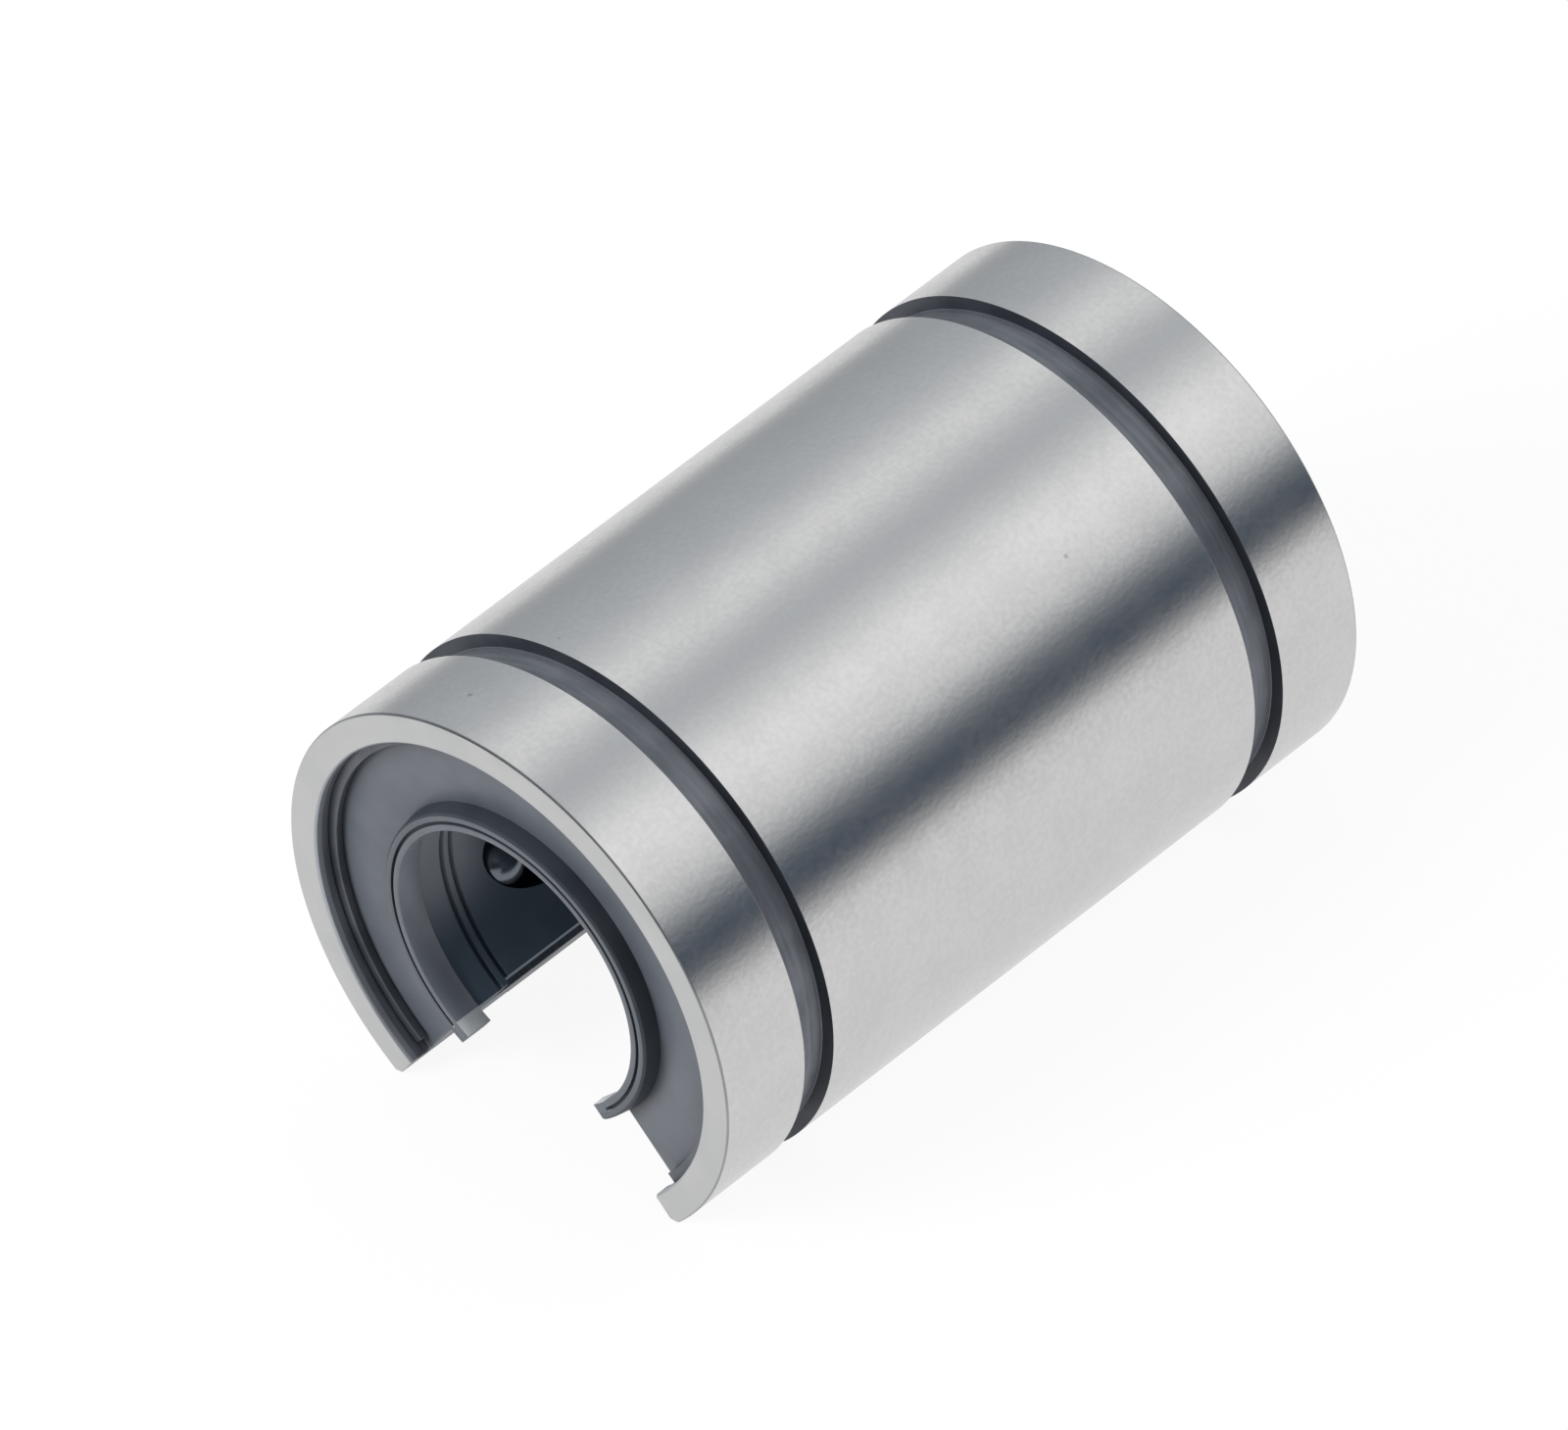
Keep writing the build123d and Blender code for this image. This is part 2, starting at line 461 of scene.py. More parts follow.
GROUND = Steel("ground_surface", (0.594, 0.592, 0.59), (0.557, 0.555, 0.554), 1.0, 0.25,
               9.0, 1.1e-7, (Specks(0.14),), grazing=0.93, mottle=30.0, mark_share=0.1)
FACED = Steel("faced_end", (0.535, 0.54, 0.535), (0.51, 0.515, 0.515), 1.0, 0.34,
              5.0, 4e-7, (Specks(0.08),))
TURNED = Steel("turned_floor", (0.2, 0.213, 0.24), (0.135, 0.147, 0.17), 0.6, 0.42,
               6.0, 2e-6, (Scuffs(0.5),))
SCALED = Steel("scaled_wall", (0.055, 0.063, 0.078), (0.035, 0.04, 0.052), 0.5, 0.45,
               6.0, 2e-6)
EDGE = Steel("edge_break", (0.33, 0.335, 0.35), (0.26, 0.265, 0.28), 0.9, 0.35, 6.0, 1e-6)
MOUTH = Steel("bore_mouth", (0.42, 0.44, 0.47), (0.34, 0.36, 0.39), 0.8, 0.4, 6.0, 2e-6)
SPRING_WIRE = Steel("spring_strip", (0.12, 0.13, 0.15), (0.08, 0.088, 0.102), 0.7, 0.35,
                    7.0, 1e-6, (Scuffs(0.2),))
# Polished bearing steel, its colour a little darker than bare steel as painted shade inside the
# retainer.
BALL = Steel("polished_ball", (0.45, 0.46, 0.47), (0.42, 0.43, 0.44), 1.0, 0.12, 2.0, 1e-7)
# Painted shade: the balls in the turns are a darker, bluer copy of the ball steel, to sit in shade
# like the retainer's inside.
SHADED_TURN_BALL = Steel("turn_ball", (0.15, 0.175, 0.205), (0.13, 0.155, 0.185), 0.7, 0.22,
                  2.0, 1e-7)
# Painted shade: the balls on the way back are a dark copy of the ball steel, for the shade inside
# the retainer.
SHADED_RETURN_BALL = Steel("return_ball_painted_shade", (0.07, 0.075, 0.085), (0.04, 0.045, 0.05), 0.8, 0.3,
                     2.0, 2e-7)
# The retainer's paler ends are painted light. The moulding itself is one colour.
RETAINER = PaintedLightMoulding("retainer_painted_light_ends", (0.075, 0.102, 0.134), (0.064, 0.09, 0.119), 0.6,
                         5.0, 3e-6, specular=0.12, painted_light_colour=(0.215, 0.235, 0.265))
SEAL = Moulding("seal_face", (0.09, 0.1, 0.118), (0.078, 0.088, 0.106), 0.42, 7.0, 3e-6)
# Painted shade: the collar's outer side and its groove are coloured much darker than the rim, for
# the shade that falls on them.
SHADED_COLLAR_SIDE = Moulding("collar_side_painted_shade", (0.041, 0.049, 0.061), (0.032, 0.039, 0.05), 0.5,
                       7.0, 3e-6, specular=0.3)
# Painted light: the collar's cut ends past the legs are coloured pale grey, for the light that
# falls on them.
LIT_CUT_END = Moulding("cut_end_painted_light", (0.62, 0.64, 0.65), (0.52, 0.54, 0.55), 0.5, 9.0, 4e-6)
# Painted light: the lip's inside, which faces the shaft, is coloured much paler than the rim, for
# the light that falls on it.
LIT_LIP = Moulding("lip_inside_painted_light", (0.185, 0.204, 0.242), (0.16, 0.176, 0.21), 0.42, 7.0, 3e-6)
RIM = Moulding("collar_rim", (0.07, 0.079, 0.096), (0.06, 0.069, 0.085), 0.42, 7.0, 3e-6)

SLEEVE_FINISHES = {
    SleeveZone.GROUND: GROUND, SleeveZone.FACED: FACED, SleeveZone.TURNED: TURNED,
    SleeveZone.SCALED: SCALED, SleeveZone.EDGE: EDGE, SleeveZone.MOUTH: MOUTH}
SEAL_FINISHES = {
    SealZone.FACE: SEAL, SealZone.SHADED_COLLAR_SIDE: SHADED_COLLAR_SIDE, SealZone.LIT_CUT_END: LIT_CUT_END,
    SealZone.LIT_LIP: LIT_LIP, SealZone.RIM: RIM}


class Lathe:
    """Turns outlines about the shaft's centre line into rings that are open downwards.

    Attributes:
        steps_per_degree: how finely a ring is turned.
        spare_angle: how far past the legs a ring is turned before its ends are cut there.
        sharp_angle: the least angle between two faces, in degrees, that counts as sharp.
    """

    steps_per_degree: ClassVar[float] = 1.0
    spare_angle: ClassVar[float] = 10.0
    sharp_angle: ClassVar[float] = 28.0

    @staticmethod
    def place(x: float, radius: float, angle: float) -> Vector:
        """The point at a place along the shaft, a radius and an angle in degrees."""
        turn = math.radians(angle)
        return Vector((x, radius * math.sin(turn), -radius * math.cos(turn))) * MM

    @classmethod
    def toward(cls, angle: float) -> Vector:
        """The direction away from the shaft at an angle in degrees, one unit long."""
        return cls.place(0, 1 / MM, angle)

    @staticmethod
    def angle_of(point: Vector) -> float:
        """A point's angle round the shaft, from 0 to 360 degrees."""
        return math.degrees(math.atan2(point.y, -point.z)) % 360

    @staticmethod
    def radius_of(point: Vector) -> float:
        """A point's distance from the shaft's centre line, in millimetres."""
        return math.hypot(point.y, point.z) / MM

    @staticmethod
    def outward(face: bmesh.types.BMFace) -> float:
        """How far a face looks away from the shaft, from -1 to 1."""
        middle = face.calc_center_median()
        return face.normal.dot(Vector((0, middle.y, middle.z)).normalized())

    @classmethod
    def ring(cls, outline: Outline, setback: float = 0.0) -> bmesh.types.BMesh:
        """Turns a closed outline into a ring from leg to leg.

        Args:
            outline: the (x, radius) points.
            setback: how far the ring's ends lie back from the legs' faces, below 0 for ends
                that stand past them.

        Returns:
            The closed ring.
        """
        mesh = bmesh.new()
        first = LEG_ANGLE - (cls.spare_angle if setback < 0 else 0)
        points = [mesh.verts.new(cls.place(x, radius, first)) for x, radius in outline]
        edges = [mesh.edges.new((points[count - 1], point)) for count, point in enumerate(points)]
        sweep = 360 - 2 * first
        bmesh.ops.spin(mesh, geom=points + edges, cent=(0, 0, 0), axis=(1, 0, 0),
                       angle=math.radians(sweep), steps=round(sweep * cls.steps_per_degree))
        if setback:
            for side in (-1, 1):
                around = cls.toward(side * (LEG_ANGLE + 90))
                cls.cut(mesh, side, around * setback * MM, -around)
        cls.close(mesh)
        return mesh

    @staticmethod
    def close(mesh: bmesh.types.BMesh) -> None:
        """Fills every hole in a mesh."""
        bmesh.ops.holes_fill(mesh, edges=[e for e in mesh.edges if e.is_boundary], sides=0)

    @staticmethod
    def cut(mesh: bmesh.types.BMesh, side: int, point: Vector, normal: Vector) -> None:
        """Cuts away what lies past a plane, on one leg.

        Args:
            mesh: the mesh.
            side: 1 for the leg on +Y, -1 for the other.
            point: a point on the plane, in metres.
            normal: the way that the plane faces.
        """
        near = [f for f in mesh.faces if f.calc_center_median().y * side > 0
                and f.calc_center_median().z < 0]
        geometry = dict.fromkeys(near)
        for face in near:
            geometry.update(dict.fromkeys([*face.edges, *face.verts]))
        bmesh.ops.bisect_plane(mesh, geom=list(geometry), dist=1e-9, plane_co=point,
                               plane_no=normal, clear_outer=True)

    @classmethod
    def soften(cls, mesh: bmesh.types.BMesh, width: float) -> None:
        """Rounds every sharp edge.

        Args:
            mesh: the mesh.
            width: the rounding's width in millimetres.
        """
        bmesh.ops.recalc_face_normals(mesh, faces=mesh.faces[:])
        sharp = [e for e in mesh.edges
                 if e.is_manifold and e.calc_face_angle(0.0) > math.radians(cls.sharp_angle)]
        bmesh.ops.bevel(mesh, geom=sharp, offset=width * MM, offset_type="OFFSET", segments=2,
                        profile=0.5, affect="EDGES", clamp_overlap=True, material=-1)


def make_piece(mesh: bmesh.types.BMesh, name: str, body: str,
               replaces: Iterable[str]) -> bpy.types.Object:
    """Turns a finished bmesh into a piece that rides on a body.

    Args:
        mesh: the bmesh, which is freed.
        name: the piece's name.
        body: the body it rides on.
        replaces: the nodes it stands for.

    Returns:
        The piece.
    """
    for face in mesh.faces:
        face.smooth = True
    data = bpy.data.meshes.new(name)
    mesh.to_mesh(data)
    mesh.free()
    piece = bpy.data.objects.new(name, data)
    bpy.context.scene.collection.objects.link(piece)
    weighted = piece.modifiers.new("even_shading", "WEIGHTED_NORMAL")
    weighted.keep_sharp = True
    weighted.weight = EVEN_SHADING
    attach(piece, body)
    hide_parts(*replaces)
    LOG.info("%s: %d faces, for %s", name, len(data.polygons), ", ".join(replaces))
    return piece


def dress_node(name: str, material: bpy.types.Material) -> None:
    """Gives a carried-over node one material.

    Args:
        name: the node's name.
        material: the material.
    """
    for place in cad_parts[name].material_slots:
        place.material = material
    LOG.info("%s: %s", name, material.name)


@dataclass
class OuterSleeve:
    """The ground steel sleeve: ring grooves, end bores, raceway bore and reliefs.

    Its radius is a hair less than the solid's, so that the dressed part stays inside the solid.

    Attributes:
        radius: the outside's radius.
        half_length: half the sleeve's length.
        groove_floor: the radius of the ring grooves' floors.
        groove_outer: how far from mid-length a ring groove ends.
        groove_inner: how far from mid-length it starts.
        edge_chamfer: the outer edges' chamfer.
        end_bore: the end bores' radius.
        bore_chamfer: their chamfer.
        mouth: how far from mid-length the end bore's pale mouth starts.
        seat_front: how far from mid-length the retaining ring's groove ends.
        seat_back: how far from mid-length it starts.
        seat_radius: the radius of its floor.
        shoulder: how far from mid-length the end bore starts.
        relief_radius: the reliefs' radius.
        raceway_radius: the raceway bore's radius.
        leg_chamfer: the chamfer on the legs' long outer edges.
        reliefs: the angles at which each relief starts and ends.
        rounding: the width of the rounding on every sharp edge.
        edge_tilt: the least part of an edge break's normal that lies along the shaft.
        wall_tilt: the most part of a leg's or relief's wall's normal that lies along it.
        wall_outward: the most part of such a normal that points away from the shaft.
        groove_margin: how far past a ring groove its walls' finish may reach.
    """

    radius: float = 9.495
    half_length: float = 14.5
    groove_floor: float = 9.0
    groove_outer: float = 11.0
    groove_inner: float = 9.7
    edge_chamfer: float = 0.06
    end_bore: float = 8.385
    bore_chamfer: float = 0.08
    mouth: float = 14.2
    seat_front: float = 13.92
    seat_back: float = 13.58
    seat_radius: float = 8.655
    shoulder: float = 13.1
    relief_radius: float = 7.9
    raceway_radius: float = 6.989
    leg_chamfer: float = 0.25
    reliefs: tuple[tuple[int, int], ...] = ((70, 107), (141, 178), (253, 290))
    rounding: float = 0.02
    edge_tilt: float = 0.2
    wall_tilt: float = 0.05
    wall_outward: float = 0.8
    groove_margin: float = 0.1

    def outline(self) -> list[tuple[float, float]]:
        """Draws the sleeve's closed outline.

        Returns:
            Its (x, radius) points, from the rear half to the front half.
        """
        rear = [
            (self.groove_inner, self.radius), (self.groove_inner, self.groove_floor),
            (self.groove_outer, self.groove_floor), (self.groove_outer, self.radius),
            (self.half_length - self.edge_chamfer, self.radius),
            (self.half_length, self.radius - self.edge_chamfer),
            (self.half_length, self.end_bore + self.bore_chamfer),
            (self.half_length - self.bore_chamfer, self.end_bore),
            (self.mouth, self.end_bore),
            (self.seat_front, self.end_bore), (self.seat_front, self.seat_radius),
            (self.seat_back, self.seat_radius), (self.seat_back, self.end_bore),
            (self.shoulder, self.end_bore), (self.shoulder, self.relief_radius),
            (self.shoulder, self.raceway_radius)]
        return rear + [(-x, radius) for x, radius in reversed(rear)]

    def build(self) -> bpy.types.Object:
        """Makes the sleeve.

        Returns:
            The sleeve, which stands for its node.
        """
        mesh = Lathe.ring(self.outline())
        for first, last in self.reliefs:
            self.cut_relief(mesh, first, last)
        self.chamfer_legs(mesh)
        Lathe.soften(mesh, self.rounding)
        end = self.half_length * MM
        for vert in mesh.verts:
            vert.co.x = min(max(vert.co.x, -end), end)
        for face in mesh.faces:
            face.material_index = self.zone(face).value
        return make_piece(mesh, "sleeve_shell", "housing", ["outer_sleeve"])

    def cut_relief(self, mesh: bmesh.types.BMesh, first: float, last: float) -> None:
        """Opens the bore outwards between two angles, for the returning balls.

        Args:
            mesh: the sleeve.
            first: the angle where the relief starts.
            last: the angle where it ends.
        """
        below = self.relief_radius - 2 * NEAR
        inside = [f for f in mesh.faces
                  if Lathe.radius_of(f.calc_center_median()) < below
                  and first < Lathe.angle_of(f.calc_center_median()) < last]
        bmesh.ops.delete(mesh, geom=inside, context="FACES")
        arcs = [e for e in mesh.edges if e.is_boundary
                and all(Lathe.radius_of(v.co) > below for v in e.verts)]
        bmesh.ops.bridge_loops(mesh, edges=arcs)
        Lathe.close(mesh)

    def chamfer_legs(self, mesh: bmesh.types.BMesh) -> None:
        """Breaks the long outer edge of each leg.

        Args:
            mesh: the sleeve.
        """
        for side in (-1, 1):
            outward = Lathe.toward(side * LEG_ANGLE)
            around = Lathe.toward(side * (LEG_ANGLE + 90))
            corner = outward * (self.radius - self.leg_chamfer) * MM
            Lathe.cut(mesh, side, corner, outward - around)
        Lathe.close(mesh)

    def zone(self, face: bmesh.types.BMFace) -> SleeveZone:
        """Finds the zone that a face is in.

        Args:
            face: a face of the sleeve.

        Returns:
            The zone, which gives its finish.
        """
        middle = face.calc_center_median()
        along = abs(middle.x) / MM
        radius = Lathe.radius_of(middle)
        tilt = abs(face.normal.x)
        corner = self.half_length + self.radius - self.edge_chamfer - 2 * self.rounding
        if along > self.half_length - NEAR:
            return SleeveZone.FACED
        if along + radius > corner and tilt > self.edge_tilt:
            return SleeveZone.EDGE
        if radius > self.radius - self.rounding and tilt < MOSTLY:
            return SleeveZone.GROUND
        if along > self.mouth and radius < self.end_bore + self.bore_chamfer:
            return SleeveZone.MOUTH
        if (self.groove_floor + 2 * self.rounding < radius < self.radius
                and along < self.groove_outer + self.groove_margin):
            return SleeveZone.SCALED
        if tilt < self.wall_tilt and abs(Lathe.outward(face)) < self.wall_outward:
            return SleeveZone.SCALED
        return SleeveZone.TURNED

    def dress(self, piece: bpy.types.Object) -> None:
        """Gives the sleeve the finish of each of its zones."""
        for zone in SleeveZone:
            piece.data.materials.append(SLEEVE_FINISHES[zone].material())


@dataclass
class EndSeal:
    """A moulded end plate with a grooved collar round the shaft.

    Attributes:
        end: the end it closes.
        back: how far from mid-length its inner face lies.
        front: how far from mid-length its plate's outer face lies.
        top: how far from mid-length its collar's rim lies.
        plate_radius: the plate's radius.
        plate_tuck: how far the plate reaches in under the collar.
        collar_base: the collar's radius at the plate.
        collar_radius: its radius at the rim.
        groove_outer: the outer radius of the groove in the rim.
        groove_inner: its inner radius.
        groove_depth: its depth.
        lip_radius: the lip's radius.
        lip_length: how far the lip reaches in.
        lip_flare: how much wider the bore is at the inner face.
        overhang: how far the collar's ends stand past the legs' faces.
        rim_slope: the chamfer on the rim's outer edge.
        rounding: the width of the rounding on every sharp edge.
        leg_margin: how near a leg's face, in degrees, still counts as between the legs.
        weld: how close points are merged where the groove closes.
    """

    end: str
    back: float = 13.1
    front: float = 13.58
    top: float = 14.19
    plate_radius: float = 8.355
    plate_tuck: float = 0.15
    collar_base: float = 5.75
    collar_radius: float = 5.65
    groove_outer: float = 5.38
    groove_inner: float = 5.26
    groove_depth: float = 0.14
    lip_radius: float = 5.04
    lip_length: float = 0.45
    lip_flare: float = 0.15
    overhang: float = 0.6
    rim_slope: float = 0.08
    rounding: float = 0.04
    leg_margin: float = 0.1
    weld: float = 0.001

    def build(self) -> bpy.types.Object:
        """Makes the seal.

        Returns:
            The seal, which stands for its node.
        """
        side = ENDS[self.end]
        plate_bore = self.collar_base - self.plate_tuck
        plate = [(self.back, plate_bore), (self.front, plate_bore),
                 (self.front, self.plate_radius), (self.back, self.plate_radius)]
        collar = [
            (self.back, self.collar_base), (self.front, self.collar_base),
            (self.top - self.rim_slope, self.collar_radius),
            (self.top, self.collar_radius - self.rim_slope), (self.top, self.groove_outer),
            (self.top - self.groove_depth, self.groove_outer),
            (self.top - self.groove_depth, self.groove_inner),
            (self.top, self.groove_inner), (self.top, self.lip_radius),
            (self.top - self.lip_length, self.lip_radius),
            (self.back, self.lip_radius + self.lip_flare)]
        mesh = Lathe.ring([(side * x, radius) for x, radius in plate])
        Lathe.soften(mesh, self.rounding)
        ring = Lathe.ring([(side * x, radius) for x, radius in collar], -self.overhang)
        self.end_groove(ring)
        Lathe.soften(ring, self.rounding)
        for face in ring.faces:
            face.material_index = self.zone(face).value
        spare = bpy.data.meshes.new("collar")
        ring.to_mesh(spare)
        ring.free()
        mesh.from_mesh(spare)
        bpy.data.meshes.remove(spare)
        return make_piece(mesh, f"{self.end}_seal_moulding", "housing",
                          [f"{self.end}_end_seal"])

    def end_groove(self, ring: bmesh.types.BMesh) -> None:
        """Closes the collar's groove past the legs, where the collar's ends are plain.

        Args:
            ring: the collar.
        """
        floor = self.top - self.groove_depth
        first = LEG_ANGLE - self.leg_margin
        for vert in ring.verts:
            on_floor = abs(abs(vert.co.x) / MM - floor) < NEAR and self.over_groove(vert.co)
            if on_floor and not first < Lathe.angle_of(vert.co) < 360 - first:
                vert.co.x = math.copysign(self.top * MM, vert.co.x)
        bmesh.ops.remove_doubles(ring, verts=ring.verts[:], dist=self.weld * MM)

    def over_groove(self, point: Vector) -> bool:
        """Whether a point is as far from the shaft as the collar's groove."""
        return self.groove_inner - NEAR < Lathe.radius_of(point) < self.groove_outer + NEAR

    def zone(self, face: bmesh.types.BMFace) -> SealZone:
        """Finds the zone that a face is in.

        Args:
            face: a face of the collar.

        Returns:
            The zone, which gives its finish.
        """
        middle = face.calc_center_median()
        radius = Lathe.radius_of(middle)
        outward = Lathe.outward(face)
        turn = math.radians(LEG_ANGLE)
        past_leg = -abs(middle.y) * math.cos(turn) - middle.z * math.sin(turn)
        in_groove = self.over_groove(middle) and abs(middle.x) < (self.top - NEAR) * MM
        # Painted light goes on the collar's cut ends.
        if past_leg > 0.0 and outward < -MOSTLY:
            return SealZone.LIT_CUT_END
        # Painted shade goes on the groove and on the collar's outer side.
        if in_groove or (outward > MOSTLY and abs(middle.x) > self.front * MM):
            return SealZone.SHADED_COLLAR_SIDE
        # Painted light goes on the lip's inside.
        if outward < -MOSTLY and radius < self.groove_outer + NEAR:
            return SealZone.LIT_LIP
        if abs(face.normal.x) > MOSTLY and radius > self.groove_outer:
            return SealZone.RIM
        return SealZone.FACE

    def dress(self, piece: bpy.types.Object,
              finishes: Mapping[SealZone, bpy.types.Material]) -> None:
        """Gives the seal the finish of each of its zones."""
        for zone in SealZone:
            piece.data.materials.append(finishes[zone])


@dataclass
class RetainingRing:
    """The flat spring ring that holds an end seal in its bore.

    Attributes:
        end: the end it is at.
        front: how far from mid-length its outer face lies.
        thickness: its thickness.
        inside: its inner radius.
        outside: its outer radius.
        end_gap: how far its ends lie back from the legs' faces.
        rounding: the width of the rounding on every sharp edge.
    """

    end: str
    front: float = 13.9
    thickness: float = 0.3
    inside: float = 8.035
    outside: float = 8.635
    end_gap: float = 0.4
    rounding: float = 0.04

    def build(self) -> bpy.types.Object:
        """Makes the ring.

        Returns:
            The ring, which stands for its node.
        """
        side = ENDS[self.end]
        back = self.front - self.thickness
        outline = [(side * self.front, self.inside), (side * back, self.inside),
                   (side * back, self.outside), (side * self.front, self.outside)]
        mesh = Lathe.ring(outline, self.end_gap)
        Lathe.soften(mesh, self.rounding)
        return make_piece(mesh, f"{self.end}_spring_ring", "housing",
                          [f"{self.end}_retaining_ring"])

    def dress(self, piece: bpy.types.Object, finish: bpy.types.Material) -> None:
        """Gives the ring its finish."""
        piece.data.materials.append(finish)


@dataclass
class BallRetainer:
    """The moulded retainer, which keeps its own solid."""

    name: str = "ball_retainer"

    def dress(self) -> None:
        """Gives the retainer its finish."""
        dress_node(self.name, RETAINER.material())


@dataclass
class BallCircuit:
    """The balls of one circuit, which keep their own solids.

    Attributes:
        name: the circuit's name.
        loaded: how many balls are loaded, each a node of its own.
    """

    name: str
    loaded: int = 8

    def dress(self, loaded: bpy.types.Material, turning: bpy.types.Material,
              returning: bpy.types.Material) -> None:
        """Gives the circuit's balls their finishes.

        Args:
            loaded: the finish of the balls that carry the load.
            turning: the finish of the balls in the two turns, a darker copy of the ball steel as
                painted shade.
            returning: the finish of the balls on the way back, a dark copy of the ball steel as
                painted shade.
        """
        for count in range(1, self.loaded + 1):
            dress_node(f"{self.name}_loaded_ball_{count}", loaded)
        dress_node(f"{self.name}_return_balls", returning)
        for end in ENDS:
            dress_node(f"{self.name}_{end}_turn_balls", turning)


@dataclass(frozen=True)
class Band:
    """One band of the light tent.

    Attributes:
        angle: its angle from straight up, in degrees.
        level: its brightness.
        cool_below: the brightness under which a band turns bluer.
        cool_span: how far under that it is bluest.
        green_lift: how much green a dim band gains, of the red that it loses.
        blue_lift: how much blue it gains, of the red that it loses.
    """

    angle: float
    level: float
    cool_below: ClassVar[float] = 1.05
    cool_span: ClassVar[float] = 0.4
    green_lift: ClassVar[float] = 0.8
    blue_lift: ClassVar[float] = 2.0

    def colour(self, full: float, shift: float) -> tuple[float, float, float, float]:
        """The band's colour, bluer where it is dim.

        Args:
            full: the brightness that counts as 1.
            shift: how much red the dimmest bands lose.

        Returns:
            Red, green, blue and an alpha of 1.
        """
        level = self.level / full
        cool = shift * min(1.0, max(0.0, (self.cool_below - self.level) / self.cool_span))
        low = max(0.0, level - cool)
        return low, max(level, low + self.green_lift * cool), low + self.blue_lift * cool, 1.0


@dataclass(frozen=True)
class Card:
    """A low card that stands on the floor beside the bearing, with its sizes in metres.

    Attributes:
        name: the card's name.
        across: how far from the shaft it stands, along Y.
        height: its height.
        level: its brightness.
    """

    name: str
    across: float
    height: float
    level: float


